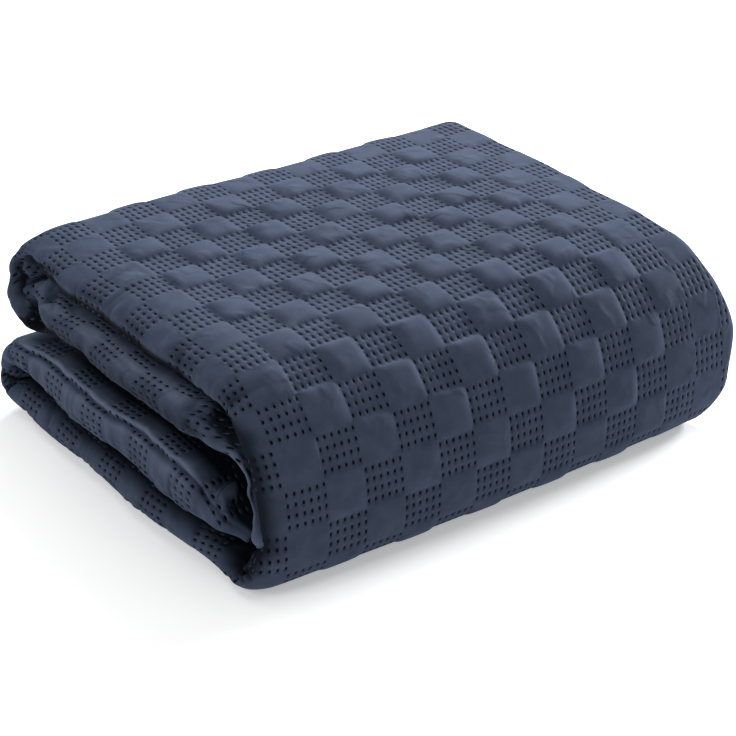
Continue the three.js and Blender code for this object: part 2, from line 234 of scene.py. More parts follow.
# Creases of the noses, each a soft trough or ridge between two places. Height is out of the cloth in
# millimetres, as are the width and the sway from side to side. Lean narrows the side towards the outer face.
# A crease fades out a little past its two places, and its sway has a second, finer wave.
TURN_LENGTH = 75.0
CREASE_PAST = 0.1
CREASE_FADE = 0.25
SECOND_SWAY = {"share": 0.5, "waves": 2.65, "shift": 1.0}
CREASE_COLUMNS = (
    "v_first", "turned_first", "v_last", "turned_last", "height", "width", "lean", "sway", "waves",
)
CREASES = (
    # Upper mouth
    (4.64, 0.61, 3.36, 0.56, -3.0, 3.0, 0.6, 0.4, 1.0),
    (3.36, 0.56, 2.36, 0.44, -2.5, 2.5, 0.6, 0.3, 1.0),
    (4.9, 0.57, 6.9, 0.53, -5.0, 4.0, 0.6, 1.2, 1.5),
    (5.7, 0.30, 5.8, 0.56, -2.6, 3.6, 1, 0.3, 1.0),
    (4.9, 0.60, 4.3, 0.95, -5.0, 9.0, 1, 2.0, 1.0),
    (5.6, 0.60, 5.3, 0.97, 7.0, 16.0, 1, 3.0, 1.0),
    (6.2, 0.60, 6.0, 0.97, -5.5, 8.0, 1, 3.0, 1.5),
    (6.5, 0.62, 6.4, 0.92, 3.5, 6.0, 1, 3.0, 1.0),
    (6.75, 0.66, 6.8, 0.92, -4.0, 6.0, 1, 3.0, 1.5),
    (7.05, 0.46, 7.1, 0.76, 4.5, 5.0, 1, 1.5, 1.0),
    (7.5, 0.88, 8.24, 0.75, -3.2, 4.0, 1, 0.3, 1.0),
    (7.86, 0.88, 8.36, 0.78, -3.0, 4.0, 1, 0.3, 1.0),
    (8.36, 0.81, 8.76, 0.72, -1.5, 1.8, 1, 0.2, 1.0),
    # Rolled edge of the lap under the top one
    (8.5, 0.92, 9.36, 0.83, -1.0, 1.6, 1, 0.2, 1.0),
    (10.6, 0.76, 13.4, 0.74, -1.4, 2.2, 1, 1.0, 1.6),
    (10.76, 0.83, 11.36, 0.81, -1.0, 1.6, 1, 0.2, 1.0),
    # Edge of the top lap, crisp above a hollow
    (2.8, 0.60, -6.2, 0.55, 1.2, 2.4, 1, 0.8, 5.0),
    (2.8, 0.70, -6.2, 0.65, -3.4, 5.0, 0.4, 0.8, 5.0),
    # Lower mouth
    (-22.02, 0.90, -22.7, 0.50, -7.0, 5.0, 0.6, 0.6, 1.0),
    (-21.98, 0.40, -22.14, 0.72, -5.0, 4.0, 1, 0.5, 1.0),
    (-23.2, 0.62, -23.0, 0.92, -4.0, 7.0, 1, 1.0, 1.0),
    (-23.93, 0.47, -24.76, 0.47, -1.3, 2.0, 1, 0.3, 1.0),
    (-24.86, 0.39, -25.02, 0.53, -0.8, 1.6, 1, 0.2, 1.0),
    # Overhanging lip of the inner low lap, the hollow under it and a crease lower down
    (-24.2, 0.13, -34.0, 0.12, 1.4, 2.4, 1, 1.2, 4.5),
    (-24.2, 0.21, -34.0, 0.20, -4.2, 4.2, 0.35, 1.2, 4.5),
    (-26.2, 0.56, -33.4, 0.52, -1.2, 2.2, 1, 2.2, 3.0),
    # Lowest lap
    (-13.1, 0.40, -21.4, 0.46, -1.2, 3.0, 1, 2.2, 3.0),
    # Hem of the hanging end
    (17.5, 0.76, 14.6, 0.76, -2.4, 6.0, 0.8, 0.3, 2.0),
    # Gathers at the foot of the big bend
    (-11.6, 0.80, -10.1, 0.58, -5.0, 4.0, 1, 0.5, 1.0),
    (-10.05, 0.60, -10.24, 0.38, -3.4, 3.0, 1, 0.3, 1.0),
    (-11.64, 0.74, -10.86, 0.68, -5.0, 4.0, 1, 0.5, 1.0),
    (-10.86, 0.70, -10.5, 0.44, -4.5, 3.4, 1, 0.4, 1.0),
    (-11.64, 0.66, -11.0, 0.52, -4.5, 3.4, 1, 0.4, 1.0),
    (-9.86, 0.48, -9.76, 0.88, -1.8, 2.0, 1, 0.3, 1.0),
    (-9.6, 0.42, -9.5, 0.78, -1.6, 2.0, 1, 0.3, 1.0),
)
# Short wrinkles across the noses, and the ranges that each one's place and size are drawn from
WRINKLE_SPACING = 0.22
WRINKLE_HEIGHT = 2.1
WRINKLE_WIDTH = 0.075
WRINKLE_SLANT = 0.8
WRINKLE_SHIFTS = (-0.45, 0.45)
WRINKLE_TURNS = (0.12, 0.85)
WRINKLE_LENGTHS = (0.08, 0.26)
WRINKLE_WIDTHS = (0.6, 1.5)
WRINKLE_HEIGHTS = (-1.0, 0.6)
WRINKLE_SLANTS = (-1, 1)
# Share of the turn over which creases and wrinkles come in at the two sides of a nose
NOSE_EDGE = 0.1

# Painted shade: cloth in a trough is painted darker by its depth, and so is cloth deep between the laps. On
# the noses this starts at a turn towards the inner face, "over", and below one towards the outer face,
# "under".
SHADE_COLUMNS = ("index", "under", "over", "over_span", "dark")
SHADE_TABLE = (
    (0.0, 0, 1.0, 0.2, 0.5),
    (1.3, 0, 0.68, 0.14, 0.95),
    (2.0, 0.15, 0.66, 0.14, 0.95),
    (2.4, 0.22, 0.84, 0.12, 0.93),
    (3.0, 0.24, 0.86, 0.12, 0.93),
    (3.45, 0.28, 0.88, 0.12, 0.93),
    (3.65, 0.32, 1.0, 0.2, 0.93),
    (3.82, 0.5, 1.0, 0.3, 0.95),
    (4.0, 0.6, 0.9, 0.3, 0.95),
    (4.22, 0.1, 0.75, 0.35, 0.5),
    (5.6, 0, 0.6, 0.35, 0.5),
    (6.1, 0, 0.48, 0.07, 0.95),
    (6.85, 0, 0.47, 0.07, 0.95),
    (7.2, 0, 0.55, 0.14, 0.95),
    (7.6, 0, 0.55, 0.14, 0.95),
    (8.3, 0, 0.18, 0.27, 0.88),
    (10.2, 0, 0.18, 0.27, 0.88),
    (10.8, 0, 0.45, 0.3, 0.85),
    (11.5, 0, 0.56, 0.3, 0.95),
    (13.2, 0, 0.6, 0.3, 0.95),
    (13.6, 0, 0.5, 0.4, 0.6),
    (14.8, 0, 0.5, 0.4, 0.6),
    (15.15, 0.04, 0.6, 0.25, 0.93),
    (15.4, 0.07, 0.6, 0.25, 0.95),
    (16.5, 0.1, 0.6, 0.25, 0.95),
    (16.6, 0.15, 0.6, 0.25, 0.96),
    (17.0, 0.15, 0.6, 0.25, 0.96),
)
# Painted highlight, or painted shade where the amount is below zero, on plain and on dotted squares: along
# the rolled lap under the top one, on the hanging edge, along the overhanging lip and on the edge of the top
# lap
PAINTED_LIGHT_COLUMNS = ("first", "last", "turned", "width", "on_plain", "on_dotted")
PAINTED_LIGHT_BANDS = (
    (2.15, 4.8, 0.78, 0.13, 1.0, 0.6),
    (1.9, 4.0, 0.4, 0.16, -0.6, -0.6),
    (-0.3, 1.7, 0.5, 0.3, 0.45, 0.45),
    (14.8, 16.3, 0.19, 0.19, 0.85, 0.65),
    (6.0, 8.0, 0.4, 0.12, 0.0, -0.35),
)
CHECKER_CONTRAST = 1.4
UNDER_SPAN = 0.17
TROUGH_DARK = 5.0
# Stretches whose outer face lies between laps, and the lengths over which the painted shade comes in there:
# from the nose, from the nose along the hem's band, and from the far end. On a far fold it starts at a turn.
HIDDEN_DARK = 0.93
HIDDEN_STRETCHES = ((-0.5, 3.9), (11.4, 13.1), (14.95, 17.5))
STRETCH_FADE = 0.3
NOSE_FADE = 7.0
HEM_FADE = 50.0
FAR_FADE = 30.0
FOLD_DARK_FROM = 0.65

SEED = 11


def ease(t):
    t = np.clip(t, 0.0, 1.0)
    return t * t * (3 - 2 * t)


def mix(a, b, t):
    return a + (b - a) * t


def named_rows(columns, table):
    return [dict(zip(columns, row)) for row in table]


# How much of a stretch of the run there is at each place, eased at its two ends
def within(index, first, last):
    return ease((index - first) / STRETCH_FADE) * ease((last - index) / STRETCH_FADE)


# A column of a table at the given places, eased from row to row
def eased_between(places, rows, column):
    before = np.clip(np.searchsorted(rows, places, side="right") - 1, 0, len(rows) - 2)
    t = (places - rows[before]) / (rows[before + 1] - rows[before])
    return mix(column[before], column[before + 1], ease(t))


# The whole run in fine steps, with its outward normal and the squares counted along the outer face
def fine_run():
    rows = named_rows(RUN_COLUMNS, RUN_TABLE)
    run = {name: [] for name in ("index", "y", "z", *EASED)}
    for number, (start, end) in enumerate(zip(rows, rows[1:])):
        is_last = number == len(rows) - 2
        t = np.linspace(0, 1, FINE_STEPS + 1)[:None if is_last else -1]
        reach = ARC_FULLNESS * math.hypot(end["y"] - start["y"], end["z"] - start["z"])
        leave = math.radians(start["heading"])
        arrive = math.radians(end["heading"])
        from_start = (2 * t - 3) * t * t + 1
        from_end = (3 - 2 * t) * t * t
        pull_start = ((t - 2) * t + 1) * t * reach
        pull_end = (t - 1) * t * t * reach
        place = {
            "y": pull_start * math.cos(leave) + pull_end * math.cos(arrive),
            "z": pull_start * math.sin(leave) + pull_end * math.sin(arrive),
        }
        run["index"].append(number + t)
        for axis in ("y", "z"):
            run[axis].append(from_start * start[axis] + from_end * end[axis] + place[axis])
        for name in EASED:
            run[name].append(mix(start[name], end[name], ease(t)))
    run = {name: np.concatenate(parts) for name, parts in run.items()}
    along_y = np.gradient(run["y"])
    along_z = np.gradient(run["z"])
    length = np.hypot(along_y, along_z)
    run["normal_y"] = along_z / length
    run["normal_z"] = -along_y / length
    outer_y = run["y"] + OUTER * run["press"] * run["normal_y"]
    outer_z = run["z"] + OUTER * run["press"] * run["normal_z"]
    walked = np.concatenate(([0], np.cumsum(np.hypot(np.diff(outer_y), np.diff(outer_z)))))
    fold = HIGH_FOLD_ROW * FINE_STEPS
    run["v"] = run["y"][fold] / CELL + V_OFFSET + (walked[fold] - walked) / CELL
    nose = dict(zip(NOSE_COLUMNS, np.transpose(NOSE_TABLE)))
    for name in NOSE_COLUMNS[1:]:
        run[name] = eased_between(run["index"], nose["index"], nose[name])
    shade = dict(zip(SHADE_COLUMNS, np.transpose(SHADE_TABLE)))
    for name in SHADE_COLUMNS[1:]:
        run[name] = eased_between(run["index"], shade["index"], shade[name])
    run["puff"] = np.zeros(len(walked))
    for stretch in named_rows(STRETCH_COLUMNS, STRETCHES):
        first, last = stretch["first"], stretch["last"]
        inside = (run["index"] >= first) & (run["index"] <= last)
        along = (run["index"][inside] - first) / (last - first)
        run["puff"][inside] = mix(stretch["puff_start"], stretch["puff_end"], ease(along))
    return run


RUN = fine_run()


# Sections at the given places of the run, each column read off the fine steps
def sections(index):
    return {name: np.interp(index, RUN["index"], column) for name, column in RUN.items()}


# Places where the outer face crosses the mesh lines of each square
def line_places(column):
    places = [0.0]
    for stretch in named_rows(STRETCH_COLUMNS, STRETCHES):
        first, last = stretch["first"], stretch["last"]
        high, low = np.interp((first, last), RUN["index"], RUN["v"])
        cells = np.arange(math.floor(low), math.ceil(high) + 1)
        lines = (cells[:, None] + np.array(stretch[column])[None, :]).ravel()
        lines = np.sort(lines[(lines < high - LINE_GAP) & (lines > low + LINE_GAP)])[::-1]
        places.extend(np.interp(-lines, -RUN["v"], RUN["index"]))
        places.append(float(last))
    return sections(np.array(places))


def inner_places():
    places = []
    for number, row in enumerate(named_rows(RUN_COLUMNS, RUN_TABLE[:-1])):
        places.extend(number + np.arange(row["steps"]) / row["steps"])
    return sections(np.array([*places, float(LAST_ROW)]))


FACE = line_places("face_lines")
NOSE = line_places("nose_lines")
INSIDE = inner_places()


# The nose's outline from the outer face to the inner one: x and the offset across, a row for each step
def nose_outline(at):
    angle = np.linspace(0, math.pi / 2, NOSE_STEPS + 1)[:, None]
    sine, cosine = np.sin(angle), np.abs(np.cos(angle))
    first = 2 / at["power_out"]
    second = 2 / at["power_in"]
    x_out = at["nose"] + at["round_out"] * (1 - sine ** first)
    across_out = at["lip"] + (OUTER * at["swell_out"] - at["lip"]) * cosine ** first
    x_in = at["nose"] + at["round_in"] * (1 - cosine ** second)
    across_in = at["lip"] - (OUTER * at["swell_in"] + at["lip"]) * sine ** second
    return np.concatenate((x_out[:-1], x_in)), np.concatenate((across_out[:-1], across_in))


# Rows round the edge of a lap's section. Each is x, offset across the lap and the outward direction.
def section_rows():
    rows = []

    def add(at, kind, x, across, out_x=0.0, out_across=1.0):
        full = np.ones(len(at["index"]))
        row = {"at": at, "kind": kind, "x": x * full, "across": across * full}
        row["puff"] = NOSE_PUFF if kind == "nose" else 1
        length = np.hypot(out_x, out_across)
        row["out_x"] = full * out_x / length
        row["out_across"] = full * out_across / length
        rows.append(row)

    def inside(x, across):
        add(INSIDE, "inside", x, across)

    def to_far(level):
        for x in INNER_LINES:
            inside(x, level)

    def to_nose(level):
        for x in INNER_LINES[::-1]:
            inside(x, level)

    # Outer face of the first layer, from the far end to the nose
    at = FACE
    far_line = (FACE_FIRST - U_OFFSET) * CELL
    for step in range(FAR_APPROACH):
        add(at, "face", mix(at["far"] - FAR_BEND, far_line, step / FAR_APPROACH), OUTER)
        rows[-1]["puff"] = FAR_PUFF
    lines = (np.arange(0, FACE_FIRST)[:, None] + np.array(CROSS_LINES)[None, :]).ravel()
    lines = np.append(lines[lines > FACE_LAST], FACE_FIRST)
    for u in lines[::-1]:
        add(at, "face", (u - U_OFFSET) * CELL, OUTER)
        rows[-1]["puff"] = mix(1, FAR_PUFF, ease((u - FAR_FLAT) / (FACE_FIRST - FAR_FLAT)))
    near_line = (FACE_LAST - U_OFFSET) * CELL
    for step in range(NOSE_APPROACH):
        near = ease(step / NOSE_APPROACH)
        x = mix(near_line, at["nose"] + at["round_out"], step / NOSE_APPROACH)
        add(at, "face", x, OUTER * mix(1, at["swell_out"], near))
        rows[-1]["puff"] = mix(1, NOSE_PUFF, near)

    # The nose
    x, across = nose_outline(NOSE)
    along_x = np.gradient(x, axis=0)
    along_across = np.gradient(across, axis=0) * NOSE["press"]
    for step, turned in enumerate(np.linspace(0, 1, 2 * NOSE_STEPS + 1)):
        add(NOSE, "nose", x[step], across[step], along_across[step], -along_x[step])
        rows[-1]["turned"] = turned

    # Outer face of the fourth layer, then the far fold up to the third
    at = INSIDE
    to_far(-OUTER)

    def far_fold(level, stagger, last_step):
        for step in range(last_step + 1):
            angle = math.pi * (step / FAR_STEPS - 0.5)
            sine, cosine = math.sin(angle), math.cos(angle)
            start = FACE["far"] - stagger - FAR_BEND
            add(FACE, "fold", start + FAR_BEND * cosine, level + FAR_BEND * sine, cosine, sine)
            rows[-1]["start_x"] = start
            turned = (0.5 + angle / math.pi) if level < 0 else (0.5 - angle / math.pi)
            rows[-1]["turned"] = turned
            rows[-1]["puff"] = FAR_PUFF * (1 - ease(turned))

    far_fold(-LAYER_PITCH, FAR_STAGGER, FAR_STEPS)

    # Third layer: its face, its hem and its back
    def hem_layer(level):
        hem = at["nose"] + np.maximum(at["round_out"], at["round_in"]) + HEM_SETBACK
        to_nose(level + HALF_QUILT)
        inside(hem + HALF_QUILT, level + HALF_QUILT)
        inside(hem, level)
        inside(hem + HALF_QUILT, level - HALF_QUILT)
        to_far(level - HALF_QUILT)

    hem_layer(-LEVEL_SECOND)
    inside(at["far"] - FAR_STAGGER - FAR_BEND, -LEVEL_SECOND - HALF_QUILT)

    # Inner face of the fourth layer, inside of the nose, inner face of the first layer
    inside(at["far"] - FAR_STAGGER - FAR_BEND, -INNER)
    to_nose(-INNER)
    inner_lip = at["lip"] * INNER / OUTER
    inner_out = np.minimum(INNER, OUTER * at["swell_out"] - QUILT)
    for step in range(BACK_STEPS, 0, -1):
        angle = math.pi / 2 * step / BACK_STEPS
        back = at["nose"] + QUILT + (at["round_in"] - QUILT) * (1 - math.cos(angle))
        inside(back, inner_lip - (INNER * at["swell_in"] + inner_lip) * math.sin(angle))
        rows[-1]["turned"] = (1 + step / BACK_STEPS) / 2
    for step in range(BACK_STEPS, -1, -1):
        angle = math.pi / 2 * step / BACK_STEPS
        back = at["nose"] + QUILT + (at["round_out"] - QUILT) * (1 - math.sin(angle))
        inside(back, inner_lip + (inner_out - inner_lip) * math.cos(angle))
        rows[-1]["turned"] = step / BACK_STEPS / 2
    to_far(INNER)
    inside(at["far"] - FAR_BEND, INNER)

    # Second layer, then its far fold up to the first
    inside(at["far"] - FAR_BEND, LEVEL_SECOND + HALF_QUILT)
    hem_layer(LEVEL_SECOND)
    far_fold(LAYER_PITCH, 0, FAR_STEPS - 1)
    return rows


# Squares counted along each row: straight across the faces, and on round the nose and far folds by length
def count_squares(rows):
    before = None
    for row in rows:
        if row["kind"] != "nose":
            row["u"] = row["x"] / CELL + U_OFFSET
            if row["kind"] == "fold":
                row["u"] = (row["start_x"] + FAR_BEND * math.pi * row["turned"]) / CELL + U_OFFSET
            before = None
            continue
        if before is None:
            row["u"] = row["x"] / CELL + U_OFFSET
        else:
            step = np.hypot(row["x"] - before["x"], (row["across"] - before["across"]) * row["at"]["press"])
            row["u"] = before["u"] - step / CELL
        before = row


# A plain square is a puffed pillow, each a little different; a dotted square lies low
def puff_profile(distance, half):
    edge = np.clip(1 - np.abs(distance) / half, 0, 1)
    return 1 - (1 - edge) ** PUFF_POWER


TABLE_SIZE = 64
variety = np.random.default_rng(SEED).uniform(-1, 1, (3, TABLE_SIZE, TABLE_SIZE))


def puff(u, v):
    height = np.zeros(np.shape(u))
    for shift_u in (-1, 0, 1):
        for shift_v in (-1, 0, 1):
            cell_u = np.floor(u).astype(int) + shift_u
            cell_v = np.floor(v).astype(int) + shift_v
            plain = (cell_u + cell_v) % 2 == 1
            across = u - cell_u - 0.5
            along = v - cell_v - 0.5
            size, lean_u, lean_v = variety[:, cell_u % TABLE_SIZE, cell_v % TABLE_SIZE]
            full = 1 + PUFF_VARIETY * size + PUFF_LEAN * (lean_u * across + lean_v * along)
            pillow = puff_profile(across, PUFF_HALF_U) * puff_profile(along, PUFF_HALF_V)
            height = np.maximum(height, np.where(plain, full * pillow, 0))
    return SEAM_LEVEL + PUFF_HEIGHT * height


# How much of the sewn hem's band there is at each place
def hem_band(row):
    edge = HEM_BAND["edge"]
    in_from_edge = HEM_BAND["v"] + HEM_BAND["slant"] * (row["u"] - HEM_BAND["u"]) - row["at"]["v"]
    across = ease(in_from_edge / edge) * ease((HEM_BAND["width"] - in_from_edge) / edge)
    before_end = ease((HEM_BAND["u_last"] - row["u"]) / edge)
    return across * before_end * ease((HEM_BAND["turned"] - row.get("turned", 0.0)) / edge)


# Pockets, creases and short wrinkles of the noses: a push along X and a rise out of the cloth, and the share
# of the colour left under each pocket's painted shade
def pocket(v, turned):
    push = 0
    # Share of the colour left under the pockets' painted shade
    light = 1
    for dent in named_rows(POCKET_COLUMNS, POCKETS):
        off_v = (v - dent["v"]) / dent["along"]
        off_turn = (turned - dent["turned"]) / dent["around"]
        shape = np.exp(-off_v ** 2 - off_turn ** 2)
        push = push + dent["depth"] * shape
        light = light * (1 - dent["dark"] * shape)
    return push, light


def wrinkle_table():
    chance = np.random.default_rng(SEED + 1)
    count = int((RUN["v"].max() - RUN["v"].min()) / WRINKLE_SPACING)
    steps = np.arange(count) + chance.uniform(*WRINKLE_SHIFTS, count)
    return {
        "v": RUN["v"].min() + steps * WRINKLE_SPACING,
        "turned": chance.uniform(*WRINKLE_TURNS, count),
        "length": chance.uniform(*WRINKLE_LENGTHS, count),
        "width": WRINKLE_WIDTH * chance.uniform(*WRINKLE_WIDTHS, count),
        "height": WRINKLE_HEIGHT * chance.uniform(*WRINKLE_HEIGHTS, count),
        "slant": WRINKLE_SLANT * chance.uniform(*WRINKLE_SLANTS, count),
    }


WRINKLES = wrinkle_table()


def crease_rise(at, turned, crease):
    along = Vector((
        (crease["v_last"] - crease["v_first"]) * CELL,
        (crease["turned_last"] - crease["turned_first"]) * TURN_LENGTH,
    ))
    off_v = (at["v"] - crease["v_first"]) * CELL
    off_turn = (turned - crease["turned_first"]) * TURN_LENGTH
    t = (off_v * along.x + off_turn * along.y) / along.length ** 2
    aside = (off_v * along.y - off_turn * along.x) / along.length
    phase = 2 * math.pi * crease["waves"] * t
    second = SECOND_SWAY["share"] * np.sin(SECOND_SWAY["waves"] * phase + SECOND_SWAY["shift"])
    aside = aside - crease["sway"] * (np.sin(phase) + second)
    shown = ease((t + CREASE_PAST) / CREASE_FADE) * ease((1 + CREASE_PAST - t) / CREASE_FADE)
    width = crease["width"] * np.where(aside > 0, 1, crease["lean"])
    return shown * crease["height"] * np.exp(-(aside / width) ** 2)


def nose_rise(at, turned):
    rise = np.zeros(len(at["index"]))
    for crease in named_rows(CREASE_COLUMNS, CREASES):
        rise += crease_rise(at, turned, crease)
    centre = WRINKLES["v"] + WRINKLES["slant"] * (turned - WRINKLES["turned"])
    across = (at["v"][:, None] - centre) / WRINKLES["width"]
    inside = np.exp(-((turned - WRINKLES["turned"]) / WRINKLES["length"]) ** 2)
    return rise + (WRINKLES["height"] * inside * np.exp(-across ** 2)).sum(axis=1)


# Soft unevenness of the far folds, different for the two of a lap
def far_rise(row):
    rise = 0
    side = np.sign(row["across"])
    for height, length in FAR_WAVES:
        phase = 2 * math.pi * row["at"]["v"] / length
        rise = rise + height * np.sin(phase + FAR_SIDE_SHIFT * side + row["turned"])
    return rise


# The settled cloth: waves that grow with height, swaying noses, a big bend that is fullest midway, a rippled
# hanging end, and a far corner of the bend that droops
def settle(x, y, z, at):
    free = ease(np.minimum(at["index"], LAST_ROW - at["index"]))
    lift = 0
    for wave in WAVES:
        phase = x * wave["per_x"] + y * wave["per_y"] + wave["shift"]
        lift = lift + free * wave["height"] * np.sin(2 * math.pi * phase)
    edge = np.maximum(0, (-x - EDGE_WAVE["start"]) / EDGE_WAVE["span"]) ** 2
    sway = EDGE_WAVE["reach"] * np.sin(2 * math.pi * (y * EDGE_WAVE["per_y"] + z * EDGE_WAVE["per_z"]))
    in_bend = (at["index"] > BEND_ROWS[0]) & (at["index"] < BEND_ROWS[1])
    side = np.where(in_bend, ease((BOW["start"] - y) / BOW["span"]), 0)
    pull = side * BOW["pull"] * ((x - BOW["middle"]) / BOW["half_length"]) ** 2
    ripple = FLAP_WAVE["reach"] * np.sin(2 * math.pi * z * FLAP_WAVE["per_z"])
    y = y + ease(FLAP_WAVE["last"] - at["index"]) * ripple
    corner = ease((x - DROOP["start"]) / DROOP["span"])
    lift = lift - corner * DROOP["drop"] * np.exp(-((y - DROOP["middle"]) / DROOP["half_width"]) ** 2)
    return x + edge * sway, y + pull, np.maximum(0, z + z / TOP * lift)


def place(row):
    at = row["at"]
    x = row["x"]
    offset = row["across"] * at["press"]
    if row["kind"] != "inside":
        raised = at["puff"] * row["puff"] * puff(row["u"], at["v"])
        if row["kind"] != "fold":
            raised = raised + HEM_BAND["rise"] * hem_band(row)
        if row["kind"] == "nose":
            edge = ease(min(row["turned"], 1 - row["turned"]) / NOSE_EDGE)
            free = ease(at["index"]) * ease(LAST_ROW - at["index"])
            raised = raised + edge * free * nose_rise(at, row["turned"])
        if row["kind"] == "fold":
            raised = raised + math.sin(math.pi * row["turned"]) * far_rise(row)
        x = x + raised * row["out_x"]
        offset = offset + raised * row["out_across"]
    if "turned" in row and row["kind"] != "fold":
        x = x + pocket(at["v"], row["turned"])[0]
    y = at["y"] + offset * at["normal_y"]
    z = at["z"] + offset * at["normal_z"]
    return np.stack(settle(x, y, z, at), axis=1)


# Painted shade of each point of a row, for lying deep between the laps, in a pocket or in a trough, less its
# painted highlight
def depth_shade(row):
    at = row["at"]
    hidden = np.zeros(len(at["index"]))
    for first, last in HIDDEN_STRETCHES:
        hidden = np.maximum(hidden, within(at["index"], first, last))
    if row["kind"] == "inside":
        return np.full(len(hidden), HIDDEN_DARK)
    if row["kind"] == "face":
        depth = row["x"] - at["nose"] - at["round_out"]
        behind = np.maximum(ease(depth / NOSE_FADE), ease(at["under"] / UNDER_SPAN))
        behind = mix(behind, ease(depth / HEM_FADE), hem_band(row))
        before = ease((at["far"] - FAR_BEND - row["x"]) / FAR_FADE)
        return HIDDEN_DARK * hidden * behind * before
    turned = row["turned"]
    if row["kind"] == "fold":
        return np.full(len(hidden), HIDDEN_DARK * ease((turned - FOLD_DARK_FROM) / (1 - FOLD_DARK_FROM)))
    over = ease((turned - at["over"]) / at["over_span"])
    under = ease((at["under"] - turned) / UNDER_SPAN)
    painted_shading = np.maximum(over, under) * (1 - hem_band(row))
    # Painted shade in the troughs of creases
    trough = np.clip(-nose_rise(at, turned) / TROUGH_DARK, 0, 1)
    shade = 1 - (1 - at["dark"] * painted_shading) * pocket(at["v"], turned)[1] * (1 - trough)
    checker = np.sin(math.pi * row["u"]) * np.sin(math.pi * at["v"])
    plain = 0.5 - 0.5 * np.clip(CHECKER_CONTRAST * checker, -1, 1)
    # Painted highlight and painted shade in bands round the noses
    for light_band in named_rows(PAINTED_LIGHT_COLUMNS, PAINTED_LIGHT_BANDS):
        shown = within(at["index"], light_band["first"], light_band["last"])
        amount = mix(light_band["on_dotted"], light_band["on_plain"], plain)
        shade = shade - amount * shown * math.exp(-((turned - light_band["turned"]) / light_band["width"]) ** 2)
    return shade


# The closed skin of the cloth: rows side by side along the run, and the two hemmed ends
def cloth_mesh():
    rows = section_rows()
    count_squares(rows)
    points = []
    squares = []
    faces = []
    start = 0
    for row in rows:
        row["start"] = start
        row["count"] = len(row["at"]["index"])
        points.append(place(row))
        # Each point keeps its squares u, v and its painted shade, below zero a painted highlight
        squares.append(np.stack((row["u"], row["at"]["v"], depth_shade(row)), axis=1))
        start += row["count"]
    for row, after in zip(rows, rows[1:] + rows[:1]):
        if row["at"] is after["at"]:
            a = np.arange(row["count"] - 1) + row["start"]
            b = np.arange(row["count"] - 1) + after["start"]
            faces.extend(np.stack((a, b, b + 1, a + 1), axis=1).tolist())
        else:
            faces.extend(zipped(row, after))
    for end, flip in ((0, True), (-1, False)):
        outline = [Vector((row["x"][end], row["across"][end], 0)) for row in rows]
        ids = [row["start"] + (row["count"] - 1 if end else 0) for row in rows]
        for corners in tessellate_polygon([outline]):
            area = sum(
                outline[a].x * outline[b].y - outline[b].x * outline[a].y
                for a, b in zip(corners, corners[1:] + corners[:1])
            )
            face = [ids[corner] for corner in corners]
            faces.append(face if (area > 0) != flip else face[::-1])
    mesh = bpy.data.meshes.new("bedspread_cloth")
    mesh.from_pydata((np.concatenate(points) * MM).tolist(), [], faces)
    mesh.attributes.new("quilt_and_painted_shading", "FLOAT_VECTOR", "POINT")
    mesh.attributes["quilt_and_painted_shading"].data.foreach_set("vector", np.concatenate(squares).ravel())
    mesh.polygons.foreach_set("use_smooth", [True] * len(mesh.polygons))
    mesh.update()
    return mesh


# Triangles between two rows whose sections differ
def zipped(row, after):
    made = []
    a = b = 0
    here, there = row["at"]["index"], after["at"]["index"]
    while a < row["count"] - 1 or b < after["count"] - 1:
        ahead_a = here[a + 1] if a < row["count"] - 1 else math.inf
        ahead_b = there[b + 1] if b < after["count"] - 1 else math.inf
        corner = (row["start"] + a, after["start"] + b)
        if ahead_a <= ahead_b:
            made.append((*corner, row["start"] + a + 1))
            a += 1
        else:
            made.append((*corner, after["start"] + b + 1))
            b += 1
    return made


# Sockets of a mix node that hold colours
MIX_LOW = 6
MIX_HIGH = 7
MIX_RESULT = 2


# A new material, with helpers that add nodes to it and give back their output
class Nodes:
    def __init__(self, name):
        self.material = bpy.data.materials.new(name)
        self.material.use_nodes = True
        self.tree = self.material.node_tree
        self.shader = self.tree.nodes["Principled BSDF"]

    def link(self, source, target):
        if isinstance(source, (int, float)):
            target.default_value = source
        else:
            self.tree.links.new(source, target)

    def math(self, operation, a, b=None, c=None):
        node = self.tree.nodes.new("ShaderNodeMath")
        node.operation = operation
        for value, socket in zip((a, b, c), node.inputs):
            if value is not None:
                self.link(value, socket)
        return node.outputs[0]

    # How far a value is from the nearest of the whole numbers from 0 to count - 1
    def off_nearest(self, value, count):
        nearest = self.math("MINIMUM", self.math("MAXIMUM", self.math("ROUND", value), 0.0), count - 1.0)
        return self.math("SUBTRACT", value, nearest)

    def fade(self, value, low, high, at_low, at_high):
        node = self.tree.nodes.new("ShaderNodeMapRange")
        node.interpolation_type = "SMOOTHSTEP"
        for name, number in (("From Min", low), ("From Max", high), ("To Min", at_low), ("To Max", at_high)):
            node.inputs[name].default_value = number
        self.link(value, node.inputs["Value"])
        return node.outputs[0]

    def noise(self, vector, scale, detail):
        node = self.tree.nodes.new("ShaderNodeTexNoise")
        self.link(vector, node.inputs["Vector"])
        node.inputs["Scale"].default_value = scale
        node.inputs["Detail"].default_value = detail
        return node.outputs["Fac"]

    def vector(self, x, y):
        node = self.tree.nodes.new("ShaderNodeCombineXYZ")
        for value, socket in zip((x, y), node.inputs):
            self.link(value, socket)
        return node.outputs[0]

    def colour(self, low, high, factor):
        node = self.tree.nodes.new("ShaderNodeMix")
        node.data_type = "RGBA"
        self.link(factor, node.inputs["Factor"])
        for value, socket in ((low, node.inputs[MIX_LOW]), (high, node.inputs[MIX_HIGH])):
            if isinstance(value, tuple):
                socket.default_value = (*value, 1)
            else:
                self.link(value, socket)
        return node.outputs[MIX_RESULT]


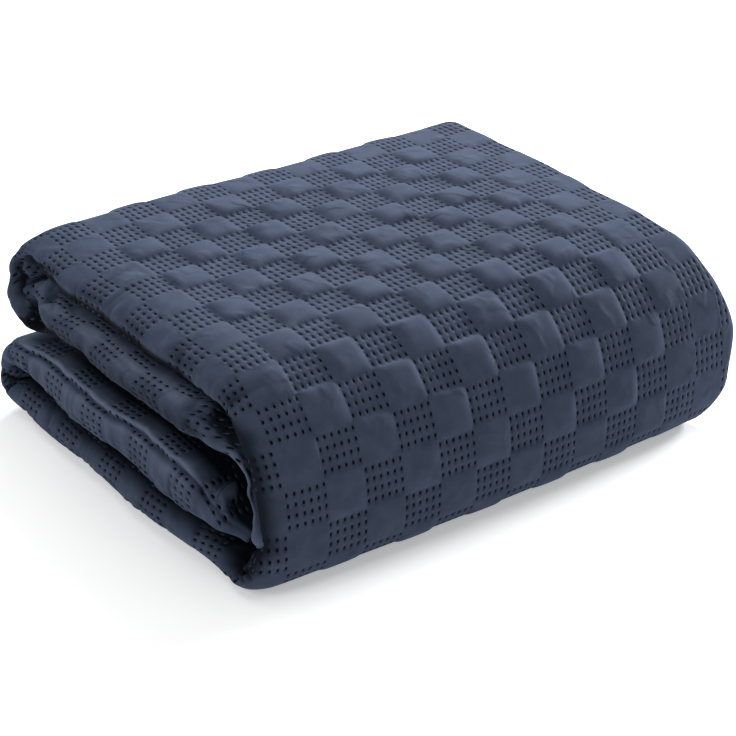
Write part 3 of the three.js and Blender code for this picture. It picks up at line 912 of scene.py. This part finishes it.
# Colours of the mottled cloth, of painted shade in the slots and where the cloth lies deep, of painted
# highlight and of painted glints on slots that lie in painted shade
NAVY = (0.055, 0.071, 0.112)
NAVY_DEEP = (0.042, 0.055, 0.088)
PAINTED_SHADE_COLOUR = (0.002, 0.0028, 0.0045)
PAINTED_HIGHLIGHT = (0.12, 0.148, 0.215)
PAINTED_SLOT_GLINT = (0.03, 0.037, 0.058)
PAINTED_SLOT_GLINT_FADE = (0.7, 0.88)
# Soft edges: of the slots and dimples in half widths of a slot, and of the hems and stitches in squares
SLOT_FADE = (0.8, 1.12)
DIMPLE_FADE = (0.4, 2.6)
HEM_SOFT = 0.02
BAND_START = 0.1
STITCH_WIDTH = 0.03
# Noise of the cloth. Scales are per millimetre, and the flows of wrinkles and gathers are per square.
FINE_DETAIL = 3.0
SOFT_DETAIL = 1.0
GRAIN_SCALE = 2.2
CLOUD_SCALE = 0.06
CLOUD_SHARE = 0.55
GRAIN_SHARE = 0.45
MOTTLE_FADE = (0.38, 0.62)
PATCH_SCALE = 0.035
PATCH_FADE = (0.5, 0.64)
WRINKLE_FLOW = {"per_u": 3.4, "lean": 0.9, "per_v": 0.8}
GATHER_FLOW = {"per_u": 1.1, "per_v": 2.4}
GATHER_FADE = (-2.0, -1.2)
# Relief of the material in millimetres, and its gloss
RELIEF = {"dimple": -1.5, "hole": -0.5, "grain": 0.05, "wrinkle": 1.5, "gather": 5.0, "stitch": -0.9}
ROUGHNESS = 0.62
ROUGH_GRAIN = 0.12
SPECULAR = 0.03
SHEEN = 0.12
SHEEN_ROUGHNESS = 0.4
SHEEN_TINT = (0.34, 0.47, 0.85)


# How much of the sewn hem's band there is in the material, and the distance in from the hem's edge
def band_nodes(make, u, v):
    line = make.math("MULTIPLY", make.math("SUBTRACT", u, HEM_BAND["u"]), HEM_BAND["slant"])
    in_from_edge = make.math("SUBTRACT", make.math("ADD", line, HEM_BAND["v"]), v)
    half = HEM_BAND["width"] / 2
    from_middle = make.math("ABSOLUTE", make.math("SUBTRACT", in_from_edge, half))
    first, last = HEM_BAND["u"], HEM_BAND["u_last"]
    band = make.fade(from_middle, half, half + HEM_SOFT, 1.0, 0.0)
    band = make.math("MULTIPLY", band, make.fade(u, first - BAND_START, first, 0.0, 1.0))
    band = make.math("MULTIPLY", band, make.fade(u, last, last + HEM_SOFT, 1.0, 0.0))
    return band, in_from_edge


# Welded dots: rows and columns of oval slots in every other square, off the hems, each in a dimple
def dot_nodes(make, u, v, band):
    number = make.math("ADD", make.math("FLOOR", u), make.math("FLOOR", v))
    odd = make.math("MULTIPLY", make.math("FRACT", make.math("MULTIPLY", number, 0.5)), 2.0)
    off_hem = make.math("SUBTRACT", make.fade(v, HEM_HIGH, HEM_HIGH + HEM_SOFT, 1.0, 0.0), band)
    dotted = make.math("MULTIPLY", off_hem, make.math("SUBTRACT", 1.0, odd))
    column = make.math("DIVIDE", make.math("SUBTRACT", make.math("FRACT", u), DOT_FIRST), DOT_PITCH_U)
    row = make.math("SUBTRACT", make.math("MULTIPLY", make.math("FRACT", v), float(DOT_ROWS)), 0.5)
    off_u = make.math("MULTIPLY", make.off_nearest(column, DOT_COLUMNS), DOT_PITCH_U * CELL)
    off_v = make.math("MULTIPLY", make.off_nearest(row, DOT_ROWS), CELL / DOT_ROWS)
    wide = make.math("DIVIDE", off_u, DOT_HALF_WIDTH)
    tall = make.math("DIVIDE", off_v, DOT_HALF_LENGTH)
    square = make.math("ADD", make.math("MULTIPLY", wide, wide), make.math("MULTIPLY", tall, tall))
    away = make.math("SQRT", square)
    hole = make.math("MULTIPLY", dotted, make.fade(away, *SLOT_FADE, 1.0, 0.0))
    dimple = make.math("MULTIPLY", dotted, make.fade(away, *DIMPLE_FADE, 1.0, 0.0))
    return hole, dimple


# Fine wrinkles that run along the squares in patches, and gathers that run across the noses
def wrinkle_nodes(make, u, v, cloth):
    straight = make.math("MULTIPLY", u, WRINKLE_FLOW["per_u"])
    slanted = make.math("ADD", straight, make.math("MULTIPLY", v, WRINKLE_FLOW["lean"]))
    along = make.vector(slanted, make.math("MULTIPLY", v, WRINKLE_FLOW["per_v"]))
    patch = make.fade(make.noise(cloth, PATCH_SCALE, SOFT_DETAIL), *PATCH_FADE, 0.0, 1.0)
    wrinkle = make.math("MULTIPLY", make.noise(along, 1.0, SOFT_DETAIL), patch)
    gather_u = make.math("MULTIPLY", u, GATHER_FLOW["per_u"])
    across = make.vector(gather_u, make.math("MULTIPLY", v, GATHER_FLOW["per_v"]))
    on_nose = make.fade(u, *GATHER_FADE, 1.0, 0.0)
    gather = make.math("MULTIPLY", make.noise(across, 1.0, SOFT_DETAIL), on_nose)
    return wrinkle, gather


# Mottled navy, with painted shade where it lies deep and in the slots, painted highlight where that value is
# below zero, and painted glints on slots in deep painted shade
def cloth_colour(make, cloth, grain, painted_shading, hole):
    cloud = make.math("MULTIPLY", make.noise(cloth, CLOUD_SCALE, FINE_DETAIL), CLOUD_SHARE)
    mottle = make.math("ADD", cloud, make.math("MULTIPLY", grain, GRAIN_SHARE))
    tone = make.colour(NAVY_DEEP, NAVY, make.fade(mottle, *MOTTLE_FADE, 0.0, 1.0))
    tone = make.colour(tone, PAINTED_SHADE_COLOUR, painted_shading)
    tone = make.colour(tone, PAINTED_HIGHLIGHT, make.fade(painted_shading, -1.0, 0.0, 1.0, 0.0))
    mark = make.colour(PAINTED_SHADE_COLOUR, PAINTED_SLOT_GLINT, make.fade(painted_shading, *PAINTED_SLOT_GLINT_FADE, 0.0, 1.0))
    return make.colour(tone, mark, hole)


def navy_microfibre():
    make = Nodes("navy_microfibre")
    attribute = make.tree.nodes.new("ShaderNodeAttribute")
    attribute.attribute_name = "quilt_and_painted_shading"
    split = make.tree.nodes.new("ShaderNodeSeparateXYZ")
    make.link(attribute.outputs["Vector"], split.inputs[0])
    u, v, painted_shading = split.outputs[:]
    cloth = make.vector(make.math("MULTIPLY", u, CELL), make.math("MULTIPLY", v, CELL))
    grain = make.noise(cloth, GRAIN_SCALE, FINE_DETAIL)
    band, in_from_edge = band_nodes(make, u, v)
    hole, dimple = dot_nodes(make, u, v, band)
    wrinkle, gather = wrinkle_nodes(make, u, v, cloth)
    from_stitch = make.math("ABSOLUTE", make.math("SUBTRACT", in_from_edge, HEM_BAND["stitch"]))
    stitch = make.math("MULTIPLY", band, make.fade(from_stitch, 0.0, STITCH_WIDTH, 1.0, 0.0))
    patterns = {
        "dimple": dimple, "hole": hole, "grain": grain,
        "wrinkle": wrinkle, "gather": gather, "stitch": stitch,
    }
    height = 0.0
    for name, pattern in patterns.items():
        height = make.math("MULTIPLY_ADD", pattern, RELIEF[name], height)
    bump = make.tree.nodes.new("ShaderNodeBump")
    bump.inputs["Distance"].default_value = MM
    make.link(height, bump.inputs["Height"])
    inputs = make.shader.inputs
    make.link(bump.outputs["Normal"], inputs["Normal"])
    make.link(cloth_colour(make, cloth, grain, painted_shading, hole), inputs["Base Color"])
    make.link(make.math("MULTIPLY_ADD", grain, ROUGH_GRAIN, ROUGHNESS), inputs["Roughness"])
    # Sheen fades out where the painted shade is
    make.link(make.fade(painted_shading, 0.0, 1.0, SHEEN, 0.0), inputs["Sheen Weight"])
    inputs["Sheen Roughness"].default_value = SHEEN_ROUGHNESS
    inputs["Sheen Tint"].default_value = (*SHEEN_TINT, 1)
    inputs["Specular IOR Level"].default_value = SPECULAR
    return make.material


# Floor, light and camera. The camera's place and lens are fitted to the photograph.
WHITE = (1, 1, 1, 1)
FLOOR_HALF = 16.0
FLOOR_COLOUR = (0.9, 0.9, 0.9, 1)
FLOOR_ROUGHNESS = 0.9
FLOOR_SPECULAR = 0.1
FLOOR_GLOW = 0.37
WORLD_GLOW = 0.2
LIGHT_TARGET = (0, 0, 0.1)
LIGHT_COLUMNS = ("name", "place", "size", "power")
LIGHTS = (
    ("back_right", (1.2, 1.5, 1.5), 1.0, 52),
    ("side_right", (2.5, 0.0, 0.8), 0.6, 80),
    ("overhead", (0.2, 0.3, 2.4), 3.0, 30),
    ("left_fill", (-1.9, -0.1, 1.4), 1.0, 13),
)
EYE = (-0.8309, -1.1506, 0.7966)
AZIMUTH = math.radians(-36.13)
ELEVATION = math.radians(27.88)
SENSOR_WIDTH = 36
LENS = 88.53


def add_object(name, data):
    thing = bpy.data.objects.new(name, data)
    bpy.context.collection.objects.link(thing)
    return thing


def pale_floor():
    make = Nodes("pale_floor")
    make.shader.inputs["Base Color"].default_value = FLOOR_COLOUR
    make.shader.inputs["Roughness"].default_value = FLOOR_ROUGHNESS
    make.shader.inputs["Specular IOR Level"].default_value = FLOOR_SPECULAR
    make.shader.inputs["Emission Color"].default_value = WHITE
    make.shader.inputs["Emission Strength"].default_value = FLOOR_GLOW
    return make.material


def add_floor():
    mesh = bpy.data.meshes.new("floor")
    corners = [(x * FLOOR_HALF, y * FLOOR_HALF, 0) for x, y in ((-1, -1), (1, -1), (1, 1), (-1, 1))]
    mesh.from_pydata(corners, [], [(0, 1, 2, 3)])
    mesh.materials.append(pale_floor())
    return add_object("floor", mesh)


def add_world():
    world = bpy.data.worlds.new("studio")
    world.use_nodes = True
    background = world.node_tree.nodes["Background"]
    background.inputs["Color"].default_value = WHITE
    background.inputs["Strength"].default_value = WORLD_GLOW
    bpy.context.scene.world = world


def add_light(row):
    light = bpy.data.lights.new(row["name"], "AREA")
    light.shape = "DISK"
    light.size = row["size"]
    light.energy = row["power"]
    lamp = add_object(row["name"], light)
    lamp.location = row["place"]
    lamp.rotation_mode = "QUATERNION"
    lamp.rotation_quaternion = (Vector(LIGHT_TARGET) - Vector(row["place"])).to_track_quat("-Z", "Y")


def add_camera():
    back = Vector((
        math.sin(AZIMUTH) * math.cos(ELEVATION),
        -math.cos(AZIMUTH) * math.cos(ELEVATION),
        math.sin(ELEVATION),
    ))
    right = Vector((math.cos(AZIMUTH), math.sin(AZIMUTH), 0))
    up = back.cross(right)
    data = bpy.data.cameras.new("camera")
    data.sensor_width = SENSOR_WIDTH
    data.lens = LENS
    camera = add_object("camera", data)
    camera.rotation_mode = "QUATERNION"
    camera.rotation_quaternion = Matrix((right, up, back)).transposed().to_quaternion()
    camera.location = EYE
    bpy.context.scene.camera = camera


bedspread = add_object("bedspread_cloth", cloth_mesh())
bedspread.data.materials.append(navy_microfibre())
floor = add_floor()
add_world()
for light_row in named_rows(LIGHT_COLUMNS, LIGHTS):
    add_light(light_row)
add_camera()
bpy.context.scene.view_settings.view_transform = "Standard"

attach(bedspread, "root")
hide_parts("bedspread")
